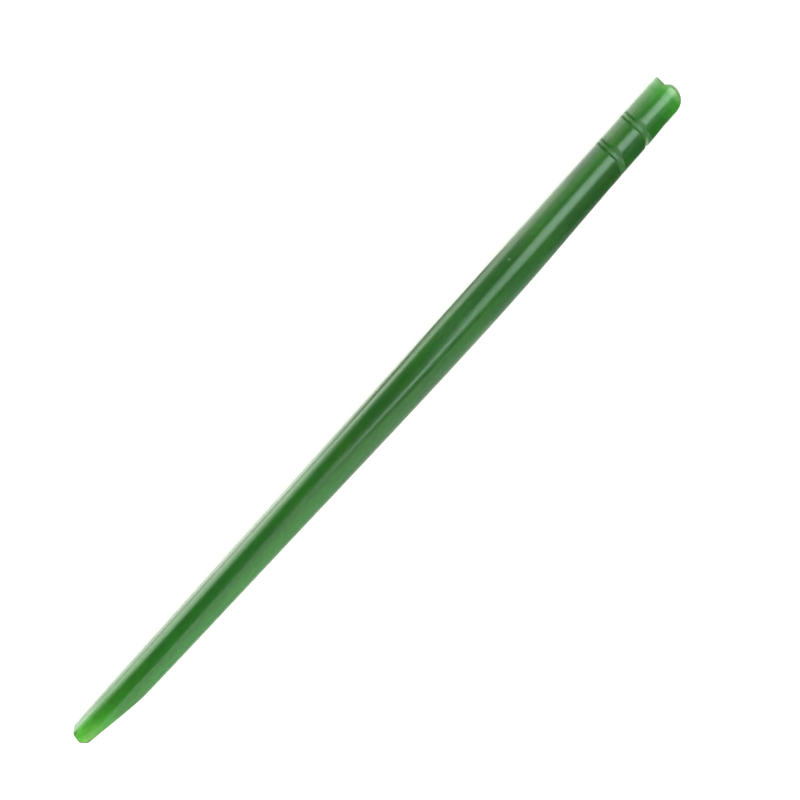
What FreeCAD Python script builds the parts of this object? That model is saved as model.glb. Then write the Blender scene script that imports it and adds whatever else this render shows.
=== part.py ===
"""Hair stick carved from one piece of green stone.

It lies on its ground underside as it would on a table: +X runs from the tip to the crown, +Y is the straight
left edge and +Z is up. Sizes are in millimetres. The stick is measured from its tip while it is being made, and
is moved at the end so that the origin is at the bottom centre of its box.
"""
import FreeCAD, Part
import math
import os

# The runs between the stations of the stick, from the tip to the crown
TIP_RUN = 13.5       # the ground bevel ends here
TAPER_RUN = 36.5     # rises quickly from the tip
SHAFT_RUN = 55.0     # rises slowly to the swell
SWELL_RUN = 25.0     # the thickest stretch
NECK_RUN = 20.0      # falls from the swell
HEAD_RUN = 26.0      # carries the two rings

# The straight left edge, from the long axis
LEFT_AT_TIP = 3.32
LEFT_AT_CROWN = 4.40

# The bowed right edge, from the long axis, at each station
RIGHT_AT_TIP = 2.62
RIGHT_AT_BEVEL = 3.05
RIGHT_AT_SHAFT = 3.70
RIGHT_AT_SWELL = 4.56
RIGHT_PAST_SWELL = 4.46
RIGHT_AT_NECK = 3.88
RIGHT_AT_CROWN = 3.48

# The height of the top above the surface that the stick lies on, at each station
TOP_AT_TIP = 3.9
TOP_AT_BEVEL = 5.1
TOP_AT_SHAFT = 6.3
TOP_AT_SWELL = 7.4
TOP_PAST_SWELL = 7.4
TOP_AT_NECK = 7.0
TOP_AT_CROWN = 6.7

# The underside
TIP_LIFT = 0.55      # the underside of the tip stands this far off the surface
GROUND_OFF = 0.15    # stock ground off the round underside to make its flat

# The cross-section: a fullness of 0.552 is an ellipse, and more is squarer
SECTION_FULLNESS = 0.59

# The two incised rings
RING_WIDTH = 1.80
RING_DEPTH = 0.25
OUTER_RING_FROM_CROWN = 11.3
RING_SPACING = 7.3
OUTER_RING_TILT = 1.5    # degrees, from square to the long axis
INNER_RING_TILT = 6.5

# The crown: a rounded lobe, and a lower flat beside it
CROWN_RADIUS = 3.60
CROWN_OFFSET = 0.28      # the lobe's middle is this far left of the long axis
STEP_DEPTH = 1.00        # the flat is this far below the crown
STEP_OFFSET = 1.85       # the flat begins this far left of the long axis
STEP_FLANK_ANGLE = 45.0  # degrees, from the flat up to the lobe
SHOULDER_FLAT = 3.6      # ground straight behind the lobe
SHOULDER_FLARE = 5.5     # degrees, from the shoulder flat out to the bowed edge

# The tip: a small end face with a corner ground off at each side, and a long bevel on the right
TIP_FACE_START = 0.30    # the face's right end is this far left of the long axis
TIP_FACE_WIDTH = 1.90
TIP_FACE_SLANT = 0.40    # the face's left end is this far behind its right end
LEFT_CORNER_LENGTH = 1.15
LEFT_CORNER_WIDTH = 1.00
RIGHT_CORNER_LENGTH = 1.05
RIGHT_CORNER_WIDTH = 1.44
BEVEL_ANGLE = 8.6        # degrees, from the long axis

LOFT_SECTIONS = 17       # cross-sections along the stick
CLEAR = 6.0              # how far the cutting tools reach past what they cut

RUNS = (TIP_RUN, TAPER_RUN, SHAFT_RUN, SWELL_RUN, NECK_RUN, HEAD_RUN)
STATIONS = [sum(RUNS[:i]) for i in range(len(RUNS) + 1)]
STICK_LENGTH = STATIONS[-1]
RIGHT = (RIGHT_AT_TIP, RIGHT_AT_BEVEL, RIGHT_AT_SHAFT, RIGHT_AT_SWELL,
         RIGHT_PAST_SWELL, RIGHT_AT_NECK, RIGHT_AT_CROWN)
TOP = (TOP_AT_TIP, TOP_AT_BEVEL, TOP_AT_SHAFT, TOP_AT_SWELL,
       TOP_PAST_SWELL, TOP_AT_NECK, TOP_AT_CROWN)


def spline_bends(xs, ys):
    """Second derivatives of the natural cubic spline through the points, at each of them."""
    count = len(xs)
    curves, weights = [0.0] * count, [0.0] * count
    for i in range(1, count - 1):
        share = (xs[i] - xs[i - 1]) / (xs[i + 1] - xs[i - 1])
        below = share * curves[i - 1] + 2.0
        bend = (ys[i + 1] - ys[i]) / (xs[i + 1] - xs[i]) - (ys[i] - ys[i - 1]) / (xs[i] - xs[i - 1])
        curves[i] = (share - 1.0) / below
        weights[i] = (6.0 * bend / (xs[i + 1] - xs[i - 1]) - share * weights[i - 1]) / below
    for i in range(count - 2, -1, -1):
        weights[i] += curves[i] * weights[i + 1]
    return weights


def along(x, values):
    """The value at x on the smooth curve through the values at the stations."""
    bends = spline_bends(STATIONS, values)
    i = max(j for j in range(len(RUNS)) if x >= STATIONS[j] or j == 0)
    run = STATIONS[i + 1] - STATIONS[i]
    near, far = (STATIONS[i + 1] - x) / run, (x - STATIONS[i]) / run
    bend = (near ** 3 - near) * bends[i] + (far ** 3 - far) * bends[i + 1]
    return near * values[i] + far * values[i + 1] + bend * run * run / 6.0


def underside(x):
    """The height of the underside before its flat is ground."""
    lift = TIP_LIFT + GROUND_OFF
    return lift * max(0.0, 1.0 - x / TIP_RUN) ** 2 - GROUND_OFF


def section(x, grow=0.0, shift=0.0):
    """The closed cross-section at x, grown outwards by grow and moved along the stick by shift."""
    left = LEFT_AT_TIP + (LEFT_AT_CROWN - LEFT_AT_TIP) * x / STICK_LENGTH
    right = along(x, RIGHT)
    top, bottom = along(x, TOP), underside(x)
    width, height = (left + right) / 2 + grow, (top - bottom) / 2 + grow
    middle = FreeCAD.Vector(x + shift, (left - right) / 2, (top + bottom) / 2)
    quarters = []
    for across, up in ((1, 1), (-1, 1), (-1, -1), (1, -1)):
        side = FreeCAD.Vector(0, across * width, 0)
        crest = FreeCAD.Vector(0, 0, up * height)
        poles = [side, side + crest * SECTION_FULLNESS, crest + side * SECTION_FULLNESS, crest]
        if across != up:
            poles.reverse()
        quarter = Part.BezierCurve()
        quarter.setPoles([middle + pole for pole in poles])
        quarters.append(quarter.toShape())
    return Part.Wire(quarters)


def bar():
    """The whole bar, before anything is cut into it."""
    step = STICK_LENGTH / (LOFT_SECTIONS - 1)
    return Part.makeLoft([section(i * step) for i in range(LOFT_SECTIONS)], True)


def crown_outline(side):
    """The edges of the outline round the crown, from above: the step, the lobe and the shoulder flat."""
    middle = FreeCAD.Vector(STICK_LENGTH - CROWN_RADIUS, CROWN_OFFSET)
    notch = FreeCAD.Vector(STICK_LENGTH - STEP_DEPTH, STEP_OFFSET)

    # The step's flank rises from the notch until it meets the lobe's circle.
    flank = math.radians(STEP_FLANK_ANGLE)
    uphill = FreeCAD.Vector(math.sin(flank), -math.cos(flank))
    start = notch - middle
    climb = start.dot(uphill)
    rise = math.sqrt(climb ** 2 - start.dot(start) + CROWN_RADIUS ** 2) - climb
    lobe_start = notch + uphill * rise

    toward = (lobe_start - middle).normalize() + FreeCAD.Vector(0, -1)
    lobe_mid = middle + toward.normalize() * CROWN_RADIUS
    lobe_end = middle + FreeCAD.Vector(0, -CROWN_RADIUS)
    shoulder = lobe_end - FreeCAD.Vector(SHOULDER_FLAT, 0)
    flare = shoulder - FreeCAD.Vector(CLEAR, CLEAR * math.tan(math.radians(SHOULDER_FLARE)))

    edges = lines([FreeCAD.Vector(notch.x, side), notch, lobe_start])
    edges.append(Part.Arc(lobe_start, lobe_mid, lobe_end).toShape())
    return edges + lines([lobe_end, shoulder, flare, FreeCAD.Vector(flare.x, -side)])


def tip_outline(side):
    """The edges of the outline round the tip, from above: the bevel, the end face and its two corners."""
    face_right = FreeCAD.Vector(0, TIP_FACE_START)
    face_left = face_right + FreeCAD.Vector(TIP_FACE_SLANT, TIP_FACE_WIDTH)
    corner = face_right + FreeCAD.Vector(RIGHT_CORNER_LENGTH, -RIGHT_CORNER_WIDTH)
    reach = TIP_RUN + CLEAR
    bevel_end = corner + FreeCAD.Vector(reach, -reach * math.tan(math.radians(BEVEL_ANGLE)))
    left_end = face_left + FreeCAD.Vector(CLEAR, CLEAR * LEFT_CORNER_WIDTH / LEFT_CORNER_LENGTH)
    return lines([FreeCAD.Vector(bevel_end.x, -side), bevel_end, corner, face_right, face_left, left_end,
                  FreeCAD.Vector(left_end.x, side)])


def lines(points):
    """Straight edges from each point to the next."""
    return [Part.makeLine(a, b) for a, b in zip(points, points[1:])]


def plan_prism():
    """The outline seen from above, as a prism. It passes clear of the bar except at the tip and the crown."""
    side = CLEAR + LEFT_AT_CROWN + RIGHT_AT_SWELL
    crown, tip = crown_outline(side), tip_outline(side)
    right = Part.makeLine(crown[-1].lastVertex().Point, tip[0].firstVertex().Point)
    left = Part.makeLine(tip[-1].lastVertex().Point, crown[0].firstVertex().Point)
    outline = Part.Face(Part.Wire(crown + [right] + tip + [left]))
    outline.translate(FreeCAD.Vector(0, 0, -CLEAR))
    return outline.extrude(FreeCAD.Vector(0, 0, max(TOP) + 2 * CLEAR))


def ring_cutter(x, tilt):
    """A washer about the bar at x, turned by tilt degrees. Its bore bulges inwards to cut the ring."""
    core = []
    for step in (-2, -1, 0, 1, 2):
        grow = RING_DEPTH * (step * step - 1)
        core.append(section(x, grow, step * RING_WIDTH / 2))
    side = 2 * (max(TOP) + CLEAR)
    washer = Part.makeBox(2 * RING_WIDTH, side, side, FreeCAD.Vector(x - RING_WIDTH, -side / 2, -side / 2))
    washer = washer.cut(Part.makeLoft(core, True))
    washer.rotate(FreeCAD.Vector(x, 0, 0), FreeCAD.Vector(0, 0, 1), tilt)
    return washer


def hair_stick():
    """The finished stick, measured from its tip."""
    side = 2 * (LEFT_AT_CROWN + RIGHT_AT_SWELL)
    surface = Part.makeBox(STICK_LENGTH + 2 * CLEAR, side, CLEAR, FreeCAD.Vector(-CLEAR, -side / 2, -CLEAR))
    outer_ring = STICK_LENGTH - OUTER_RING_FROM_CROWN
    stick = bar().common(plan_prism()).cut(surface)
    stick = stick.cut(ring_cutter(outer_ring, OUTER_RING_TILT))
    stick = stick.cut(ring_cutter(outer_ring - RING_SPACING, INNER_RING_TILT))
    return stick.Solids[0]


def centred(stick):
    """The stick moved so that the origin is at the bottom centre of its box."""
    box = stick.optimalBoundingBox()
    stick.translate(FreeCAD.Vector(-(box.XMin + box.XMax) / 2, -(box.YMin + box.YMax) / 2, -box.ZMin))
    return stick


def main():
    os.makedirs("parts", exist_ok=True)
    centred(hair_stick()).exportStep("parts/hair_stick.step")


main()
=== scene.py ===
"""A carved hair stick of polished green stone, lying on a white table and seen from straight above."""
import math

import bpy
import numpy as np
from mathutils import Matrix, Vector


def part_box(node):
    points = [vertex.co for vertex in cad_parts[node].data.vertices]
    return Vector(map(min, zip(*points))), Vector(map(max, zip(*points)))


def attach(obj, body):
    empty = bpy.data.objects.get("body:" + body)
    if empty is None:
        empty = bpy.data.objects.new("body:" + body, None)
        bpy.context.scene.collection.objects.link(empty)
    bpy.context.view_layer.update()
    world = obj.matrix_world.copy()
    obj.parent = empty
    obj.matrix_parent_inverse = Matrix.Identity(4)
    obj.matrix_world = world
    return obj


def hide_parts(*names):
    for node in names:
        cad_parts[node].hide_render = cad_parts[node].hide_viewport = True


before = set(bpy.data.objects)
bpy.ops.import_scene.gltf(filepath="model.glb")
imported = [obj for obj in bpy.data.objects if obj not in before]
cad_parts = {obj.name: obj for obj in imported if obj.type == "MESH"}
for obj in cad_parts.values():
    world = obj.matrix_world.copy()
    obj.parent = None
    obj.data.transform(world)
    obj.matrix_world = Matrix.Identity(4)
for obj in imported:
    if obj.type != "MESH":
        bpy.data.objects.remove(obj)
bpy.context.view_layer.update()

MM = 0.001
LOW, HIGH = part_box("hair_stick")

# The stick's sizes, in millimetres. Places along it are measured from its tip, and places across it from its
# long axis, to the left as seen from above. A pair of places named for a change gives where the change begins
# and where it is complete.
STATIONS = np.array([0.0, 13.5, 50.0, 105.0, 130.0, 150.0, 176.0])
RIGHT = np.array([2.62, 3.03, 3.70, 4.56, 4.46, 3.88, 3.48])
TOP = np.array([3.9, 5.1, 6.3, 7.4, 7.4, 7.0, 6.7])
LEFT_AT_TIP, LEFT_AT_CROWN = 3.32, 4.40
LENGTH = STATIONS[-1]
SECTION_POWER = 2.12     # 2 is an ellipse, and more is squarer
TIP_LIFT = 0.55          # the underside of the tip stands this far off the table
GROUND_OFF = 0.15        # stock ground off the round underside

# The two incised rings: where each starts on top, its slant back on the right flank, and its share of the
# depth. The places across where they are cut are measured from the middle of the cross-section.
RINGS = ((156.50, 0.36, 0.90), (163.68, 0.04, 0.60))
RING_SLANT_FROM = -1.1
RING_LEFT_SHIFT = 0.17   # how much further along a ring lies on the left flank
RING_EDGE_SHIFT = 0.30   # and what is added to that at the left edge
RING_DEPTHS = (0.05, 0.23, 0.08)   # on the left, on top and on the right
RING_WALL = 0.52         # the steep wall on the tip's side
RING_FLOOR = 0.68
RING_RAMP = 1.10         # the gentle wall on the crown's side
RING_RAMP_SIDE = 0.55    # the same, where the ring runs down the flanks
TO_LEFT, TO_RIGHT = (0.5, 3.5), (-0.5, -3.5)             # the change of depth, and of place on the left
TO_LEFT_EDGE = (3.1, 4.1)
RAMP_TO_LEFT, RAMP_TO_RIGHT = (0.4, 1.8), (-0.7, -1.6)   # the change of the gentle wall

# A slanting nick where the outer ring runs out on the right
NICK = (163.75, -3.20)
NICK_SIZE = (0.34, 0.60)
NICK_SLANT = 0.6
NICK_DEPTH = 0.24

# The crown: a rounded lobe with a straight shoulder on its right, and a lower step on its left
CROWN_RADIUS, CROWN_OFFSET = 3.70, 0.36
CROWN_DOME = 0.095       # how fast the crown's end falls back above and below its middle height
DOME_BEGINS = (165, 171)
STEP_DEPTH, STEP_OFFSET = 1.00, 2.05
STEP_REACH = 0.50        # the step runs in under the lobe as far as this
SHOULDER_FLAT, SHOULDER_FLARE = 3.6, 5.5

# The tip: the start and run of its end face, the runs of the corners on both sides of it, and a long bevel
TIP_FACE = (0.0, 0.30)
TIP_FACE_RUN = (0.36, 2.02)
LEFT_CORNER_RUN = (1.15, 1.00)
RIGHT_CORNER_RUN = (1.10, -1.37)
BEVEL_ANGLE = 8.6        # degrees, from the long axis

# The roundings of the edges
TIP_ROUND = 0.25         # where the tip's faces meet the round surface
CROWN_ROUND = 0.28       # where the crown's lobe does
STEP_ROUND = 0.10        # where its step does
STEP_ROUND_RUN = 0.8     # how far the one takes to turn into the other
CORNER_ROUND = 0.20      # between the faces of an end
NOTCH_ROUND = 0.12       # between the lobe and the step
GROUND_ROUND = 0.08      # along the ground underside

# The mesh: rings of points round the stick, and more over each end that spread from the centre of its cap
AROUND = 180
CAP_CENTRES = ((1.7, 1.05), (172.3, 0.35))
CENTRE_BLENDS = (12, 8)  # how far each cap's centre takes to turn into the middle of the stick
RING_GAPS = ((16.0, 0.20), (153.5, 1.1), (CAP_CENTRES[1][0], 0.10))   # how far apart, up to each place
CAP_RINGS = 80
LONGEST_RAY, HALVINGS = 9.0, 26


# Geometry: each function takes arrays of millimetres and gives distances in millimetres, negative inside, or
# shares from 0 to 1.

def rise(value, start, full):
    """A smooth step from 0 at start to 1 at full, whichever of the two is higher."""
    share = np.clip((value - start) / (full - start), 0, 1)
    return share * share * (3 - 2 * share)


def through(values, x):
    """The natural cubic spline through the values at the stations."""
    gaps = np.diff(STATIONS)
    count = len(STATIONS)
    system, turns = np.eye(count), np.zeros(count)
    for i in range(1, count - 1):
        system[i, i - 1:i + 2] = gaps[i - 1], 2 * (gaps[i - 1] + gaps[i]), gaps[i]
        turns[i] = 6 * ((values[i + 1] - values[i]) / gaps[i] - (values[i] - values[i - 1]) / gaps[i - 1])
    bends = np.linalg.solve(system, turns)
    i = np.clip(np.searchsorted(STATIONS, x, side="right") - 1, 0, count - 2)
    gap = gaps[i]
    near, far = (STATIONS[i + 1] - x) / gap, (x - STATIONS[i]) / gap
    bend = (near ** 3 - near) * bends[i] + (far ** 3 - far) * bends[i + 1]
    return near * values[i] + far * values[i + 1] + bend * gap ** 2 / 6


def left_edge(x):
    """How far the straight left edge is from the long axis."""
    return LEFT_AT_TIP + (LEFT_AT_CROWN - LEFT_AT_TIP) * x / LENGTH


def oval(x):
    """The cross-section's middle and half-sizes: y, z, across, up."""
    left, right, top = left_edge(x), through(RIGHT, x), through(TOP, x)
    lift = (TIP_LIFT + GROUND_OFF) * np.maximum(0, 1 - x / STATIONS[1]) ** 2 - GROUND_OFF
    return (left - right) / 2, (top + lift) / 2, (left + right) / 2, (top - lift) / 2


def both(a, b, radius):
    """What lies inside a and b, with the edge between them rounded."""
    return (np.minimum(np.maximum(a, b), -radius)
            + np.hypot(np.maximum(a + radius, 0), np.maximum(b + radius, 0)))


def either(a, b, radius):
    """What lies inside a or b, with the hollow between them rounded."""
    return -both(-a, -b, radius)


def left_of(x, y, start, run):
    """How far a point lies to the left of the line from start along run."""
    return ((y - start[1]) * run[0] - (x - start[0]) * run[1]) / math.hypot(*run)


def ring_offsets(x, y):
    """How far past each ring's start a point is, along the stick."""
    left = RING_LEFT_SHIFT * rise(y, *TO_LEFT) + RING_EDGE_SHIFT * rise(y, *TO_LEFT_EDGE)
    return [x - place - left + slant * np.maximum(0, RING_SLANT_FROM - y) for place, slant, _ in RINGS]


def ring_ramp(y):
    """How long the gentle wall is: long on top, and short on the flanks."""
    to_side = np.maximum(rise(y, *RAMP_TO_LEFT), rise(y, *RAMP_TO_RIGHT))
    return RING_RAMP + (RING_RAMP_SIDE - RING_RAMP) * to_side


def ring_share(x, y):
    """How far into an incised ring a point is: 0 outside, and the ring's share of the depth on its floor."""
    ramp = ring_ramp(y)
    return sum(share * rise(off, 0, RING_WALL) * (1 - np.clip((off - RING_WALL - RING_FLOOR) / ramp, 0, 1))
               for off, (_, _, share) in zip(ring_offsets(x, y), RINGS))


def nick(x, y):
    """1 along the nick's line from its place outwards, and 0 away from it."""
    across = x - NICK[0] - NICK_SLANT * (y - NICK[1])
    return np.exp(-(across / NICK_SIZE[0]) ** 2 - (np.maximum(y - NICK[1], 0) / NICK_SIZE[1]) ** 2)


def cuts(x, y):
    """How deep the two incised rings and the nick cut into the surface."""
    left, top, right = RING_DEPTHS
    full = top + (left - top) * rise(y, *TO_LEFT) + (right - top) * rise(y, *TO_RIGHT)
    return full * ring_share(x, y) + NICK_DEPTH * nick(x, y)


def bar(x, y, z):
    """The round bar with the rings and the nick cut in."""
    middle_y, middle_z, across, up = oval(x)
    y, z = y - middle_y, z - middle_z
    spread = (np.abs(y / across) ** SECTION_POWER + np.abs(z / up) ** SECTION_POWER) ** (1 / SECTION_POWER)
    return np.hypot(y, z) * (1 - 1 / spread) + cuts(x, y)


def tip(x, y):
    """The tip's faces, seen from above: the bevel, the right corner, the end face and the left corner."""
    corner = np.add(TIP_FACE, RIGHT_CORNER_RUN)
    face_end = np.add(TIP_FACE, TIP_FACE_RUN)
    slope = math.radians(BEVEL_ANGLE)
    faces = left_of(x, y, corner, (-math.cos(slope), math.sin(slope)))
    for start, run in ((corner, np.negative(RIGHT_CORNER_RUN)), (TIP_FACE, TIP_FACE_RUN),
                       (face_end, LEFT_CORNER_RUN)):
        faces = both(faces, left_of(x, y, start, run), CORNER_ROUND)
    return faces


def crown(x, y, z):
    """The crown's domed outline from above: the lobe with its shoulder, and the lower step on its left."""
    x = x + CROWN_DOME * (z - oval(x)[1]) ** 2 * rise(x, *DOME_BEGINS)
    flat = LENGTH - STEP_DEPTH
    middle = LENGTH - CROWN_RADIUS
    flare = np.maximum(0, middle - SHOULDER_FLAT - x) * math.tan(math.radians(SHOULDER_FLARE))
    lobe = np.hypot(np.maximum(x - middle, 0), y - CROWN_OFFSET) - CROWN_RADIUS - flare
    flank = left_of(x, y, (flat, STEP_OFFSET), (1, -1))
    step = np.maximum(x - flat, STEP_REACH - y)
    return either(both(lobe, flank, CORNER_ROUND), step, NOTCH_ROUND)


def stone(x, y, z):
    """The whole stick."""
    shape = both(bar(x, y, z), tip(x, y), TIP_ROUND)
    at_step = rise(y, STEP_OFFSET, STEP_OFFSET + STEP_ROUND_RUN)
    shape = both(shape, crown(x, y, z), CROWN_ROUND + (STEP_ROUND - CROWN_ROUND) * at_step)
    return both(shape, -z, GROUND_ROUND)


# Painted light and shade on the carved places, as shares from 0 to 1 that the material reads

# The rings' painted light and shade change towards the flanks. Where the change begins and ends is measured
# along the stick, past the ring's start or end, or past the end of its steep wall or floor.
PAINT_TO_LEFT, PAINT_TO_RIGHT = (1.2, 2.2), (-0.8, -2.0)
PAINT_BEGINS, PAINT_ENDS = (-0.10, 0.20), (0.0, -0.40)
PAINT_LEFT_SHIFT = 0.10                 # it begins this much sooner on the left flank
STEEP_ENDS = (0.0, -0.10)
FLOOR_BEGINS, FLOOR_ENDS = (-0.12, 0.08), (0.0, -0.20)
FLOOR_LEVELS = (0.65, 1.0)               # how pale the painted light on each ring's floor is,
FLOOR_ON_LEFT = 0.4                      # and what is left of that on the left flank
WALL_ON_TOP, WALL_ON_LEFT = 0.35, 0.82   # how dark the painted shade in the rings' walls is
PALE_WALLS, PALE_STEEP_WALL = 0.15, 0.40   # painted light on both walls on top, and what the steep one adds

# Painted shade: the dark rim along the top edges of each end
TIP_RIM, CROWN_RIM = 0.34, 0.17          # how wide it is on the top,
RIM_ON_FACE = 0.80                       # and on the end's face,
RIM_FACE_FADE = 0.40                     # and how far it takes to fade out there
RIM_ABOVE = (1.6, 2.6)                   # heights: it leaves the underside's edges as they are
RIM_FROM_LEFT_CORNER = (2.4, 1.9)        # at the tip it keeps off the left corner,
RIM_THINS = (1.5, 2.5)                   # halves where the bevel starts,
RIM_ALONG_BEVEL = (8.0, 3.0)             # and ends along it
SHADE_INSIDE = (-0.95, -0.65)             # painted shade beside the left corner: how far inside the tip's faces,
SHADE_ACROSS = ((1.6, 2.0), (2.5, 2.2))   # and its two sides
STEP_INSIDE = (-0.8, -0.3)               # fainter painted shade on the step: how far inside the crown's outline
SHADE_LEVEL, CROWN_LEVEL, STEP_LEVEL = 0.85, 0.75, 0.30


def ring_light_and_shade(x, y):
    """How much painted light, as on a ring's floor, and painted shade, as on its walls, the points have."""
    left, right = rise(y, *PAINT_TO_LEFT), rise(y, *PAINT_TO_RIGHT)
    inside = steep = flat = 0
    for off, level in zip(ring_offsets(x, y), FLOOR_LEVELS):
        past_steep = off - RING_WALL
        past_floor = past_steep - RING_FLOOR
        past_end = past_floor - ring_ramp(y)
        inside += rise(off + PAINT_LEFT_SHIFT * left, *PAINT_BEGINS) * rise(past_end, *PAINT_ENDS)
        steep += rise(off, *PAINT_BEGINS) * rise(past_steep, *STEEP_ENDS)
        flat += level * rise(past_steep, *FLOOR_BEGINS) * rise(past_floor, *FLOOR_ENDS)
    pale_walls = np.maximum(0, PALE_WALLS * inside + PALE_STEEP_WALL * steep - flat)
    floor = (flat * (1 - (1 - FLOOR_ON_LEFT) * left) + (inside - flat) * right
             + (1 - right) * (1 - left) * pale_walls)
    wall = (1 - right) * (WALL_ON_TOP + (WALL_ON_LEFT - WALL_ON_TOP) * left) * inside * (1 - flat)
    return floor, wall


def rim_shade(x, y, z):
    """How much of the painted shade of an end's dark rim the points have."""
    to_tip, to_crown = tip(x, y), crown(x, y, z)
    at_tip = (rise(to_tip, -TIP_RIM, -TIP_RIM / 2) * rise(y, *RIM_FROM_LEFT_CORNER)
              * (1 - rise(x, *RIM_THINS) / 2) * rise(x, *RIM_ALONG_BEVEL))
    corner_shade = SHADE_LEVEL * rise(to_tip, *SHADE_INSIDE)
    for side in SHADE_ACROSS:
        corner_shade = corner_shade * rise(y, *side)
    at_crown = CROWN_LEVEL * rise(to_crown, -CROWN_RIM, 0)
    at_step = STEP_LEVEL * rise(y, *PAINT_TO_LEFT) * rise(to_crown, *STEP_INSIDE)
    on_edge = rise(bar(x, y, z), -RIM_ON_FACE, RIM_FACE_FADE - RIM_ON_FACE) * rise(z, *RIM_ABOVE)
    return np.maximum.reduce([at_tip, corner_shade, at_crown, at_step]) * on_edge


# The mesh

def ring_places():
    """Where the rings of points lie along the stick: close together where there is more to show."""
    place = CAP_CENTRES[0][0]
    places = []
    for end, gap in RING_GAPS:
        places.append(np.arange(place, end, gap))
        place = end
    return np.append(np.concatenate(places), place)


def ray_starts():
    """The point inside the stick that each ring's rays start from."""
    x = ring_places()
    middle_y, middle_z = oval(x)[:2]
    (tip_x, tip_y), (crown_x, crown_y) = CAP_CENTRES
    middle_y = tip_y + (middle_y - tip_y) * np.clip((x - tip_x) / CENTRE_BLENDS[0], 0, 1)
    middle_y = crown_y + (middle_y - crown_y) * np.clip((crown_x - x) / CENTRE_BLENDS[1], 0, 1)
    return np.stack([x, middle_y, middle_z], 1)


def rays():
    """The start and direction of each point's ray, with the two end points' last, and the number of rings."""
    starts = ray_starts()
    lean = np.radians(np.linspace(0, 90, CAP_RINGS, endpoint=False)[1:])
    leans = np.concatenate([-lean[::-1], np.zeros(len(starts)), lean])
    at_tip, at_crown = np.repeat(starts[:1], len(lean), 0), np.repeat(starts[-1:], len(lean), 0)
    starts = np.concatenate([at_tip, starts, at_crown])
    turn = np.linspace(0, 2 * math.pi, AROUND, endpoint=False)
    directions = np.stack([
        np.sin(leans)[:, None] + 0 * turn,
        np.cos(leans)[:, None] * np.cos(turn),
        np.cos(leans)[:, None] * np.sin(turn)], 2)
    starts = np.concatenate([np.repeat(starts, AROUND, 0), starts[[0, -1]]])
    return starts, np.concatenate([directions.reshape(-1, 3), [[-1, 0, 0], [1, 0, 0]]]), len(leans)


def surface_points():
    """The points where the rays leave the stone, found by halving, and the number of rings."""
    starts, directions, count = rays()
    near, far = np.zeros(len(starts)), np.full(len(starts), LONGEST_RAY)
    for _ in range(HALVINGS):
        reach = (near + far) / 2
        inside = stone(*(starts + directions * reach[:, None]).T) < 0
        near, far = np.where(inside, reach, near), np.where(inside, far, reach)
    return starts + directions * far[:, None], count


def stick_faces(count):
    """The faces between the rings of points, and the fans that close both ends."""
    ring, spot = np.meshgrid(np.arange(count - 1), np.arange(AROUND), indexing="ij")
    ring, spot = ring.ravel() * AROUND, spot.ravel()
    following = (spot + 1) % AROUND
    quads = np.stack([ring + spot, ring + following, ring + AROUND + following, ring + AROUND + spot], 1)
    tip_point, crown_point = count * AROUND, count * AROUND + 1
    last = (count - 1) * AROUND
    faces = quads.tolist()
    for i in range(AROUND):
        j = (i + 1) % AROUND
        faces.append([tip_point, j, i])
        faces.append([crown_point, last + i, last + j])
    return faces


AXIS_Y = HIGH.y / MM - left_edge(LENGTH - STEP_DEPTH)    # the left edge is furthest out at the step


def stick_mesh():
    """The stick's mesh, in metres in the frame."""
    local, count = surface_points()
    points = (local + [LOW.x / MM, AXIS_Y, 0]) * MM
    mesh = bpy.data.meshes.new("stone_stick")
    mesh.from_pydata(points.tolist(), [], stick_faces(count))
    mesh.validate()
    mesh.shade_smooth()
    x, y, z = local.T
    floor, wall = ring_light_and_shade(x, y)
    shares = {"ring_floor": floor, "ring_wall": wall, "nick": nick(x, y), "rim": rim_shade(x, y, z)}
    for name, values in shares.items():
        mesh.attributes.new(name, "FLOAT", "POINT").data.foreach_set("value", values)
    return mesh


# Materials

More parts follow.
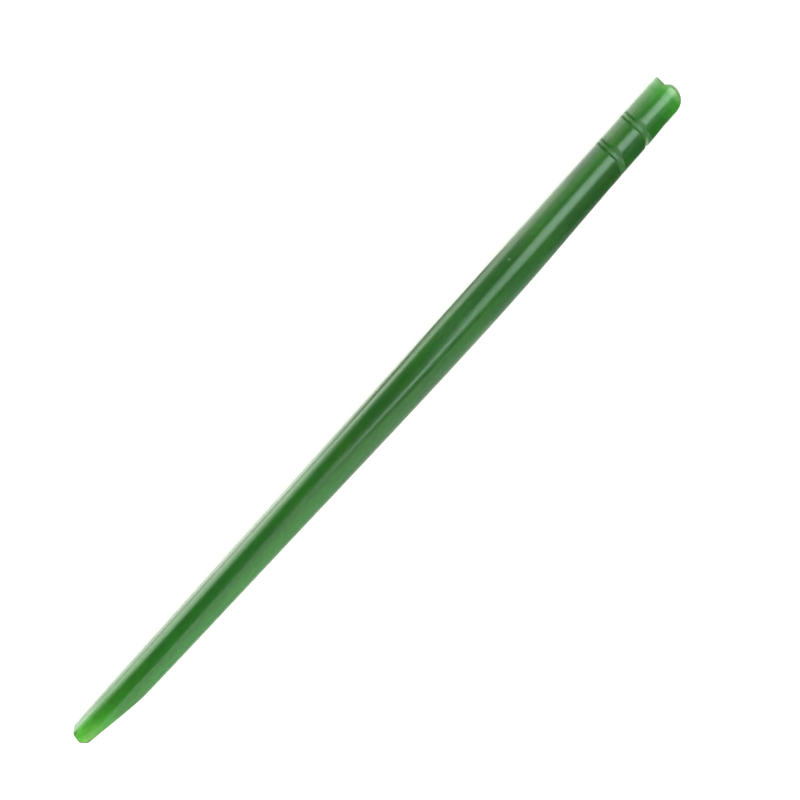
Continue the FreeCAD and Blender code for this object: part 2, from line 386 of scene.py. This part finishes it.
class Nodes:
    """A material's or world's node tree, built by short calls."""

    def __init__(self, owner):
        owner.use_nodes = True
        self.tree = owner.node_tree
        self.tree.nodes.clear()

    def add(self, kind, settings=None, **inputs):
        """A node of a kind, with its properties from settings and its inputs from values or other sockets."""
        made = self.tree.nodes.new("ShaderNode" + kind)
        for name, value in (settings or {}).items():
            setattr(made, name, value)
        for name, value in inputs.items():
            self.feed(made, name, value)
        return made

    def feed(self, made, name, value):
        """Sets or links an input, named in words or as i and its number."""
        key = int(name[1:]) if name[0] == "i" and name[1:].isdigit() else name.replace("_", " ")
        socket = made.inputs[key]
        if isinstance(value, bpy.types.NodeSocket):
            self.tree.links.new(value, socket)
        else:
            socket.default_value = value

    def math(self, operation, a, b=0.0):
        return self.add("Math", {"operation": operation}, i0=a, i1=b).outputs[0]

    def noise(self, place, stretch, detail):
        """Noise in the place, with each axis scaled by stretch, so that it is longer one way."""
        stretched = self.add("Mapping", Vector=place, Scale=stretch).outputs[0]
        return self.add("TexNoise", Vector=stretched, Scale=1.0, Detail=detail, Roughness=0.5).outputs["Fac"]

    def ramp(self, value, stops):
        """A colour ramp: stops of position and colour."""
        made = self.add("ValToRGB", Fac=value)
        elements = made.color_ramp.elements
        while len(elements) < len(stops):
            elements.new(1.0)
        for element, (position, colour) in zip(elements, stops):
            element.position = position
            element.color = (*colour, 1.0)
        return made.outputs[0]

    def range(self, value, low, high, to_low=0.0, to_high=1.0):
        """A smooth step from to_low at low to to_high at high."""
        made = self.add("MapRange", {"interpolation_type": "SMOOTHSTEP"}, Value=value, From_Min=low,
                        From_Max=high, To_Min=to_low, To_Max=to_high)
        return made.outputs[0]

    def rise(self, value, start, full):
        """0 at start and 1 at full, in millimetres, whichever of the two is higher."""
        if start < full:
            return self.range(value, start * MM, full * MM)
        return self.range(value, full * MM, start * MM, 1.0, 0.0)

    def window(self, value, start, full, end, gone):
        """1 from full to end, and 0 before start and after gone, in millimetres."""
        return self.math("MULTIPLY", self.rise(value, start, full), self.rise(value, gone, end))

    def mix(self, share, a, b):
        """From colour a to colour b as share goes from 0 to 1."""
        made = self.add("Mix", {"data_type": "RGBA"}, Factor=share)
        for place, colour in (("i6", a), ("i7", b)):
            self.feed(made, place, (*colour, 1.0) if isinstance(colour, tuple) else colour)
        return made.outputs[2]

    def times(self, colour, factor):
        return self.add("VectorMath", {"operation": "MULTIPLY"}, i0=colour, i1=factor).outputs[0]

    def tint(self, colour, share, factor):
        """The colour times the factor, by share."""
        return self.times(colour, self.mix(share, PLAIN, factor))


# The stone's colours are linear red, green and blue. Places on it are millimetres in the frame: x along it
# from TIP to CROWN, and y across it, to the left. A window names four: where it starts, is full, still is
# full and is gone.
TIP, CROWN = LOW.x / MM, HIGH.x / MM
PLAIN = (1.0, 1.0, 1.0)
EVERYWHERE = (-9, -8)    # a rise that is complete before the right edge

# Noise: its waves for each metre along, across and up, and its detail. The middle of its range is used.
CLOUDY, PATCHY = ((70, 260, 260), 3.0), ((45, 160, 160), 2.0)
FINE, GRAINY = ((500, 900, 900), 3.0), ((900, 2000, 2000), 2.0)
CLOUDY_RANGE, FINE_RANGE = (0.33, 0.67), (0.3, 0.7)

BODY = ((0.010, 0.100, 0.007), (0.017, 0.124, 0.004))
# Painted light: paler on the right towards the tip, where light comes through the thin stone
BODY_LIT_THROUGH = ((0.012, 0.152, 0.007), (0.019, 0.176, 0.004))    # on the right
TOWARD_RIGHT, TOWARD_TIP = (-0.3, -2.4), (30, -12)
# Painted shade: three stretches painted darker, standing for shade on the stone
PAINTED_SHADE_STRETCHES = (       # a window along, a rise across and a factor
    ((-20, -9, 8, 20), EVERYWHERE, (0.93, 0.82, 0.90)),         # round the middle
    ((44, 54, 68, 71), (-0.2, -1.6), (0.76, 0.77, 0.76)),       # on the right flank before the rings
    ((23, 30, 42, 50), (0.2, 0.9), (0.88, 0.82, 0.88)),         # on the left beside the painted haze
)

# Painted light: the glow of light through the thin tip, painted into the stone's colour
TIP_GLOW_RUN = (TIP, TIP + 28)
TIP_GLOW = ((0.00, (0.102, 0.545, 0.052)), (0.025, (0.082, 0.415, 0.038)), (0.12, (0.043, 0.262, 0.018)),
            (0.32, (0.022, 0.160, 0.008)), (0.75, (0.015, 0.118, 0.005)))
TIP_GLOW_TO_BODY = (TIP + 10, TIP + 22)
# Factors for both sides, at the end and behind it, and where the one turns into the other
TIP_RIGHT, TIP_RIGHT_RUN = ((1.85, 1.06, 1.90), (1.15, 1.33, 1.15)), (TIP + 2, TIP + 8)
TIP_LEFT, TIP_LEFT_RUN = ((0.93, 0.88, 0.85), (1.05, 1.10, 1.0)), (TIP + 5, TIP + 15)
TIP_RIGHT_TO_LEFT = (-0.3, 1.5)
TIP_SIDES_RUN = (TIP + 66, TIP + 15)     # how far they reach along the stick
# A painted highlight on the tip's left corner
LEFT_CORNER = (0.32, 0.50, 0.36)
LEFT_CORNER_ACROSS, LEFT_CORNER_ALONG = (2.3, 3.0), (TIP + 10, TIP + 4)

# Painted light: the glow of light through the crown, with a pale painted highlight at its end
CROWN_GLOW_RUN = 14
CROWN_GLOW = ((0.00, (0.013, 0.112, 0.005)), (0.50, (0.019, 0.165, 0.009)), (0.80, (0.044, 0.290, 0.022)),
              (0.92, (0.270, 0.520, 0.205)), (1.00, (0.500, 0.680, 0.450)))
CROWN_FROM_BODY = (CROWN - 13.9, CROWN - 12)
CROWN_LEFT, CROWN_TO_LEFT = (0.38, 0.75, 0.36), (1.0, 1.8)
CROWN_RIGHT, CROWN_FROM_RIGHT = (0.50, 0.99, 0.40), (-1.8, -0.7)
CROWN_SIDES = (0.80, 0.92)               # where the factors for both sides begin, as shares of the glow

# Painted reflection: a pale patchy haze in the middle of the stick, standing for faint light from above
PAINTED_HAZE = (0.026, 0.112, 0.024)
PAINTED_HAZE_ALONG, PAINTED_HAZE_ACROSS = (13, 22, 26, 36), (0.2, 1.0, 2.0, 3.0)
PAINTED_HAZE_PATCHES = (0.3, 0.6, 0.5, 1.0)     # from and to in the patchy noise, and the haze's strength there
SPECK, SPECK_AT = (0.12, 0.24, 0.11), (0.0401, 0.0017, 0.0)     # its place is in metres
SPECK_LEVEL, SPECK_RADII = 0.5, (0.10, 0.40)
# Painted reflection: pale grey patches along the left edge, standing for the sheen of the light from the left
SHEEN, SHEEN_ACROSS = (0.064, 0.112, 0.040), (1.8, 3.7)
SHEEN_PATCHES = (0.35, 0.65, 0.3, 0.9)    # as for the painted haze
SHEEN_AT_CROWN, SHEEN_ALONG = 0.45, (15, 75)
# A painted highlight on the left edge towards the tip
PALE_EDGE, PALE_LEVEL = (0.200, 0.130, 0.150), 0.25
PALE_ALONG, PALE_ACROSS = (-50, -42, -26, -14), (2.3, 2.8, 3.0, 3.5)
# Painted shade on the left edge just before the first ring
DARK_EDGE = (0.25, 0.58, 0.15)           # a factor
DARK_ALONG, DARK_ACROSS = (56, 63, 70, 72), (2.4, 3.2)
GRAIN = ((0.90, 0.93, 0.90), (1.10, 1.07, 1.10))                # factors

# Strength and colour of painted shade on ring walls, painted light on floors, painted highlight on the nick
WALL, FLOOR, NICK_GLINT = (0.9, (0.014, 0.080, 0.008)), (0.6, (0.050, 0.175, 0.045)), (0.8, (0.36, 0.50, 0.36))
# Painted shade of the ends' rims: how strong, and its colour at the tip and at the crown
RIM_STRENGTH, RIM_AT_TIP, RIM_AT_CROWN = 0.8, (0.090, 0.082, 0.045), (0.060, 0.110, 0.055)
RIM_CHANGES = (-1, 1)

POLISHED = (0.17, 0.23)  # roughness, by the fine noise,
FLOOR_ADDS, DULL_ADDS = 0.22, 0.40       # and what the rings' floors and the dark places add
IOR, TINT = 1.62, (0.74, 1.0, 0.86, 1.0)                 # the tint is that of the reflections
SPECULAR, SCATTER = (0.5, 0.05), (0.5, 0.1)              # on the polished stone, and in the dark places
TRANSMITTED = (0.8, 2.0, 0.6)    # how far each colour of light goes through the stone, in millimetres
BUMP_STRENGTH, BUMP_HEIGHT = 0.15, 0.02                  # the height is in millimetres


def stone_body(n, x, y, cloud_and_haze):
    """Deep green, with painted light on the right towards the tip and painted shade in stretches."""
    clouding = n.range(cloud_and_haze, *CLOUDY_RANGE)
    # painted light, where light comes through the stone on the right towards the tip
    lit_through_share = n.math("MULTIPLY", n.rise(y, *TOWARD_RIGHT), n.rise(x, *TOWARD_TIP))
    colour = n.mix(lit_through_share, n.mix(clouding, *BODY), n.mix(clouding, *BODY_LIT_THROUGH))
    # painted shade
    for along, across, factor in PAINTED_SHADE_STRETCHES:
        colour = n.tint(colour, n.math("MULTIPLY", n.window(x, *along), n.rise(y, *across)), factor)
    return colour


def tip_painted_glow(n, x, y, body):
    """The painted glow at the tip, stronger on its right, and a painted highlight on its left corner."""
    glow = n.ramp(n.rise(x, *TIP_GLOW_RUN), TIP_GLOW)
    colour = n.mix(n.rise(x, *TIP_GLOW_TO_BODY), glow, body)
    on_right = n.mix(n.rise(x, *TIP_RIGHT_RUN), *TIP_RIGHT)
    on_left = n.mix(n.rise(x, *TIP_LEFT_RUN), *TIP_LEFT)
    across = n.mix(n.rise(y, *TIP_RIGHT_TO_LEFT), on_right, on_left)
    colour = n.tint(colour, n.rise(x, *TIP_SIDES_RUN), across)
    # painted highlight on the left corner
    corner = n.math("MULTIPLY", n.rise(y, *LEFT_CORNER_ACROSS), n.rise(x, *LEFT_CORNER_ALONG))
    return n.mix(corner, colour, LEFT_CORNER)


def crown_painted_glow(n, x, y, body):
    """The painted glow at the crown, with a painted highlight palest in the middle of its end."""
    share = n.math("DIVIDE", n.math("SUBTRACT", x, (CROWN - CROWN_GLOW_RUN) * MM), CROWN_GLOW_RUN * MM)
    beside = n.mix(n.rise(y, *CROWN_TO_LEFT), PLAIN, CROWN_LEFT)
    beside = n.mix(n.rise(y, *CROWN_FROM_RIGHT), CROWN_RIGHT, beside)
    glow = n.tint(n.ramp(share, CROWN_GLOW), n.range(share, *CROWN_SIDES), beside)
    return n.mix(n.rise(x, *CROWN_FROM_BODY), body, glow)


def speck_and_painted_light(n, x, y, place, patch, colour):
    """A painted haze in the middle, one pale speck, and painted sheen, highlight and shade at the left edge.
    """
    # painted reflection: the pale haze
    cloud_and_haze = n.math("MULTIPLY", n.window(x, *PAINTED_HAZE_ALONG), n.window(y, *PAINTED_HAZE_ACROSS))
    cloud_and_haze = n.math("MULTIPLY", cloud_and_haze, n.range(patch, *PAINTED_HAZE_PATCHES))
    colour = n.mix(cloud_and_haze, colour, PAINTED_HAZE)

    from_above = n.add("Mapping", Vector=place, Scale=(1, 1, 0)).outputs[0]
    off = n.add("VectorMath", {"operation": "DISTANCE"}, i0=from_above, i1=SPECK_AT).outputs["Value"]
    colour = n.mix(n.range(off, SPECK_RADII[0] * MM, SPECK_RADII[1] * MM, SPECK_LEVEL, 0.0), colour, SPECK)

    # painted reflection along the left edge
    sheen = n.math("MULTIPLY", n.rise(y, *SHEEN_ACROSS), n.range(patch, *SHEEN_PATCHES))
    sheen = n.math("MULTIPLY", sheen, n.range(x, SHEEN_ALONG[0] * MM, SHEEN_ALONG[1] * MM, 1.0, SHEEN_AT_CROWN))
    colour = n.mix(sheen, colour, SHEEN)
    # painted highlight
    pale = n.math("MULTIPLY", n.window(x, *PALE_ALONG), n.window(y, *PALE_ACROSS))
    colour = n.mix(n.math("MULTIPLY", pale, PALE_LEVEL), colour, PALE_EDGE)
    # painted shade
    dark = n.math("MULTIPLY", n.window(x, *DARK_ALONG), n.rise(y, *DARK_ACROSS))
    return n.tint(colour, dark, DARK_EDGE)


def carved(n, x, colour, floor, wall, nick_glint, rim):
    """The painted shade and light of the rings, the painted highlight on the nick, and the ends' painted
    rims.
    """
    # painted shade on the walls, painted light on the floors and a painted highlight on the nick
    for share, (strength, paint) in ((wall, WALL), (floor, FLOOR), (nick_glint, NICK_GLINT)):
        colour = n.mix(n.math("MULTIPLY", share, strength), colour, paint)
    # painted shade of the ends' rims
    rim_shade_colour = n.mix(n.rise(x, *RIM_CHANGES), RIM_AT_TIP, RIM_AT_CROWN)
    return n.mix(n.math("MULTIPLY", rim, RIM_STRENGTH), colour, rim_shade_colour)


def green_stone():
    """Polished nephrite: deep green, cloudy, with a painted glow where thin, painted light and shade, duller
    where carved.
    """
    material = bpy.data.materials.new("green_stone")
    n = Nodes(material)
    place = n.add("TexCoord").outputs["Object"]
    x, y, _ = n.add("SeparateXYZ", Vector=place).outputs
    cloud_and_haze, patch, fine, grain = (n.noise(place, *waves) for waves in (CLOUDY, PATCHY, FINE, GRAINY))
    floor, wall, nick_glint, rim = (n.add("Attribute", {"attribute_name": name}).outputs["Fac"]
                              for name in ("ring_floor", "ring_wall", "nick", "rim"))

    colour = tip_painted_glow(n, x, y, stone_body(n, x, y, cloud_and_haze))
    colour = speck_and_painted_light(n, x, y, place, patch, crown_painted_glow(n, x, y, colour))
    colour = n.times(colour, n.mix(n.range(grain, *FINE_RANGE), *GRAIN))
    colour = carved(n, x, colour, floor, wall, nick_glint, rim)

    dull = n.math("MAXIMUM", wall, rim)
    rougher = n.math("MAXIMUM", n.math("MULTIPLY", floor, FLOOR_ADDS), n.math("MULTIPLY", dull, DULL_ADDS))
    rough = n.math("ADD", n.range(fine, *FINE_RANGE, *POLISHED), rougher)
    bump = n.add("Bump", Height=fine, Strength=BUMP_STRENGTH, Distance=BUMP_HEIGHT * MM).outputs[0]
    shader = n.add("BsdfPrincipled", Base_Color=colour, Roughness=rough, Normal=bump, IOR=IOR,
                   Specular_IOR_Level=n.range(dull, 0.0, 1.0, *SPECULAR), Specular_Tint=TINT,
                   Subsurface_Weight=n.range(rim, 0.0, 1.0, *SCATTER),
                   Subsurface_Radius=TRANSMITTED, Subsurface_Scale=MM)
    n.add("OutputMaterial", Surface=shader.outputs[0])
    return material


TABLE_COLOUR = (0.80, 0.80, 0.80, 1.0)
TABLE_NEAR_FAR = (0.25, 0.9)     # from the stick, in metres, where its light in the picture changes
TABLE_GLOW = (0.46, 1.0)


def table_top():
    """White that keeps the stick's shadow, with the light that it needs to show as plain white."""
    material = bpy.data.materials.new("white_table")
    n = Nodes(material)
    place = n.add("TexCoord").outputs["Object"]
    away = n.add("VectorMath", {"operation": "LENGTH"}, i0=place).outputs["Value"]
    glow = n.range(away, *TABLE_NEAR_FAR, *TABLE_GLOW)
    seen = n.add("LightPath")
    share = n.math("MAXIMUM", n.math("MAXIMUM", seen.outputs["Is Camera Ray"], seen.outputs["Is Glossy Ray"]),
                   seen.outputs["Is Transmission Ray"])
    lit = n.add("BsdfDiffuse", Color=TABLE_COLOUR)
    shine = n.add("Emission", Color=(1, 1, 1, 1), Strength=n.math("MULTIPLY", share, glow))
    n.add("OutputMaterial", Surface=n.add("AddShader", i0=lit.outputs[0], i1=shine.outputs[0]).outputs[0])
    return material


# The studio, in metres in the frame

TABLE, BACKDROP = 6.0, 1.6   # half the table's width, and how high the backdrop round it is
CEILING = 0.30               # how high the flat softboxes hang
ALONG, ACROSS, UP = (1, 0, 0), (0, 1, 0), (0, 0, 1)
WARM, IVORY = (1.0, 1.0, 0.86), (1.0, 1.0, 0.96)


def softbox_material(name, strength, fades, card, tint):
    """Light that a fade changes to its last number along a direction, from one distance to another."""
    material = bpy.data.materials.new(name)
    n = Nodes(material)
    place = n.add("TexCoord").outputs["Object"]
    level = strength
    for direction, start, end, at_end in fades:
        along = n.add("VectorMath", {"operation": "DOT_PRODUCT"}, i0=place, i1=direction).outputs["Value"]
        stops = (start, end, 1.0, at_end) if start < end else (end, start, at_end, 1.0)
        level = n.math("MULTIPLY", n.range(along, *stops), level)
    glow = n.add("Emission", Color=(*tint, 1), Strength=level).outputs[0]
    if not card:
        clear = n.add("BsdfTransparent", Color=(1, 1, 1, 1)).outputs[0]
        glow = n.add("AddShader", i0=glow, i1=clear).outputs[0]
    n.add("OutputMaterial", Surface=glow)
    return material


def stage_mesh(name, points, faces, material):
    mesh = bpy.data.meshes.new(name)
    mesh.from_pydata(points, [], faces)
    mesh.materials.append(material)
    made = bpy.data.objects.new(name, mesh)
    bpy.context.scene.collection.objects.link(made)
    return made


def panel(name, points, faces, strength, fades=(), card=False, tint=PLAIN):
    """A softbox that the camera doesn't see, and that lets other light through. A card shows only in
    reflections: it hides what lies behind it there, lights nothing and casts no shadow."""
    made = stage_mesh(name, points, faces, softbox_material(name, strength, fades, card, tint))
    made.visible_camera = False
    if card:
        made.visible_diffuse = made.visible_shadow = False
        made.visible_transmission = made.visible_volume_scatter = False


def flat_panel(name, outline, strength, fades):
    """A softbox that hangs flat over the table."""
    panel(name, [(x, y, CEILING) for x, y in outline], [range(len(outline))], strength, fades)


def left_wall(name, start, end, y, height, strength, fades):
    """A softbox that stands on the table to the left, from start to end along the stick."""
    points = [(start, y, 0), (end, y, 0), (end, y, height), (start, y, height)]
    panel(name, points, [(0, 1, 2, 3)], strength, fades, tint=WARM)


def band_card(name, rows, z, strength, fades):
    """A card that lies just over the table: rows of an x and the band's two y's."""
    points = [(x, y, z) for x, *both_y in rows for y in both_y]
    faces = [(2 * i, 2 * i + 2, 2 * i + 3, 2 * i + 1) for i in range(len(rows) - 1)]
    panel(name, points, faces, strength, fades, card=True, tint=IVORY)


def table_and_backdrop():
    white = table_top()
    base = [(-TABLE, -TABLE), (TABLE, -TABLE), (TABLE, TABLE), (-TABLE, TABLE)]
    stage_mesh("table", [(x, y, 0) for x, y in base], [(0, 1, 2, 3)], white)
    stage_mesh("backdrop", [(x, y, z) for z in (0, BACKDROP) for x, y in base],
               [(i, (i + 1) % 4, (i + 1) % 4 + 4, i + 4) for i in range(4)], white)


def overhead():
    """A softbox that is a narrow strip over the middle and widens over the crown's half, and a faint one."""
    outline = ((-0.032, -0.012), (-0.032, -0.040), (0.004, -0.078), (0.030, -0.094), (0.055, -0.095),
               (0.080, -0.110), (0.127, -0.150), (0.150, -0.170), (0.180, -0.190), (0.235, -0.200),
               (0.235, 0.075), (0.170, 0.075), (0.158, 0.040), (0.147, 0.020), (0.138, 0.040), (0.126, 0.085),
               (0.108, 0.080), (0.063, 0.048), (0.046, 0.028), (0.028, -0.016), (0.004, -0.030))
    flat_panel("overhead", outline, 4.4, (
        ((0.4, 1, 0), 0.0, -0.105, 0.05), ((2.2, 1, 0), 0.294, 0.490, 0.20), (ACROSS, 0.010, 0.090, 0.4),
        (ALONG, 0.115, 0.055, 0.70), (ALONG, 0.041, 0.020, 2.3), (ALONG, 0.163, 0.176, 2.2)))
    outline = ((0.010, 0.000), (0.080, 0.000), (0.080, 0.120), (0.010, 0.120))
    flat_panel("haze", outline, 1.1, (
        (ALONG, 0.035, 0.010, 0.0), (ALONG, 0.045, 0.075, 0.0), (ACROSS, 0.035, 0.110, 0.0)))


def right_side():
    """Over the tip's half a sheet that ends in a wall, and beside the crown a dim sheet."""
    far = -0.34
    outline = ((-0.45, -0.100), (-0.45, far), (0.14, far), (0.14, -0.190), (0.002, -0.190), (-0.006, -0.155),
               (-0.030, -0.135), (-0.030, -0.040), (-0.024, 0.055), (-0.052, 0.022), (-0.085, -0.030),
               (-0.105, -0.055), (-0.13, -0.072))
    count = len(outline)
    points = [(x, y, CEILING) for x, y in outline] + [(-0.45, far, 0), (0.14, far, 0)]
    panel("right", points, [range(count), (1, count, count + 1, 2)], 1.4, (
        (ALONG, -0.02, 0.12, 0.18), (ALONG, -0.07, -0.12, 1.18), (UP, 0.13, 0.05, 0.5)), tint=WARM)
    outline = ((0.14, far), (0.45, far), (0.45, -0.15), (0.14, -0.15))
    flat_panel("crown_side", outline, 0.6, ((ALONG, 0.175, 0.14, 0.0),))


def left_side():
    """A bright wall whose top falls towards the middle, a low one beyond it, and a dim tall one."""
    left_wall("left", -0.40, 0.11, 0.25, 0.40, 4.9, (
        (UP, 0.14, 0.38, 0.0), ((1.8, 0, 1), -0.066, 0.180, 0.0), ((-3, 0, 1), 0.62, 0.76, 0.4),
        (ALONG, -0.04, 0.0, 0.8)))
    left_wall("left_low", -0.04, 0.40, 0.26, 0.14, 1.9, (
        (UP, 0.0, 0.16, 0.0), (ALONG, 0.0, -0.04, 0.0), (ALONG, 0.06, 0.10, 0.25)))
    left_wall("left_tall", 0.02, 0.40, 0.24, 0.60, 1.7, (
        (UP, 0.0, 0.50, 0.22), (UP, 0.08, 0.0, 0.5), (ALONG, 0.115, 0.050, 0.0)))


def cards():
    """Two on the left that brighten or darken what the left edge reflects, and a dark one on the right."""
    band_card("far_card", ((-0.30, 0.0062, 0.25), (0.30, 0.0062, 0.25)), 0.0004, 4.0, (
        (ALONG, -0.024, 0.0, 0.66),))
    rows = ((-0.30, 0.0062, 0.030), (-0.014, 0.014, 0.032), (0.008, 0.0090, 0.020), (0.022, 0.0067, 0.0125),
            (0.30, 0.0062, 0.0100))
    band_card("near_card", rows, 0.0006, 2.9, ((ALONG, -0.018, 0.006, 0.10), (ALONG, 0.034, 0.050, 7.5)))
    bends = ((-0.0065, 0.0004), (-0.24, 0.0004), (-0.24, 0.09))
    points = [(x, y, z) for y, z in bends for x in (0.03, 0.40)]
    faces = [(0, 1, 3, 2), (2, 3, 5, 4)]
    panel("right_card", points, faces, 0.2, (((1, 0.13, 0), 0.075, 0.030, 5.0),), card=True)


def air():
    """A plain dim light from all round."""
    world = bpy.data.worlds.new("studio")
    bpy.context.scene.world = world
    n = Nodes(world)
    n.add("OutputWorld", Surface=n.add("Background", Color=(1, 1, 1, 1), Strength=0.22).outputs[0])


# The camera: straight above, turned so that the stick rises to the right as in the photograph

FRAME_PX = 800
PX = 0.19857             # millimetres for each pixel, at the stick's middle height
ROLL = 47.76             # degrees from the picture's upright to the stick's right
MIDDLE_PX = (378.23, 415.63)   # the middle of the stick's length, on its axis
LENS = 80.0
SENSOR = 36.0


def camera():
    data = bpy.data.cameras.new("camera")
    data.lens, data.sensor_width = LENS, SENSOR
    made = bpy.data.objects.new("camera", data)
    bpy.context.scene.collection.objects.link(made)
    bpy.context.scene.camera = made
    turn = math.radians(-ROLL)
    right = np.array([math.cos(turn), math.sin(turn)])
    up = np.array([-right[1], right[0]])
    off = right * (FRAME_PX / 2 - MIDDLE_PX[0]) + up * (MIDDLE_PX[1] - FRAME_PX / 2)
    height = PX * FRAME_PX * LENS / SENSOR + HIGH.z / MM / 2
    made.location = (off[0] * PX * MM, (AXIS_Y + off[1] * PX) * MM, height * MM)
    made.rotation_euler = (0, 0, turn)


def stick():
    made = bpy.data.objects.new("stone_stick", stick_mesh())
    bpy.context.scene.collection.objects.link(made)
    made.data.materials.append(green_stone())
    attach(made, "root")
    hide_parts("hair_stick")


camera()
stick()
for build in (table_and_backdrop, overhead, right_side, left_side, cards, air):
    build()
bpy.context.scene.view_settings.view_transform = "Standard"
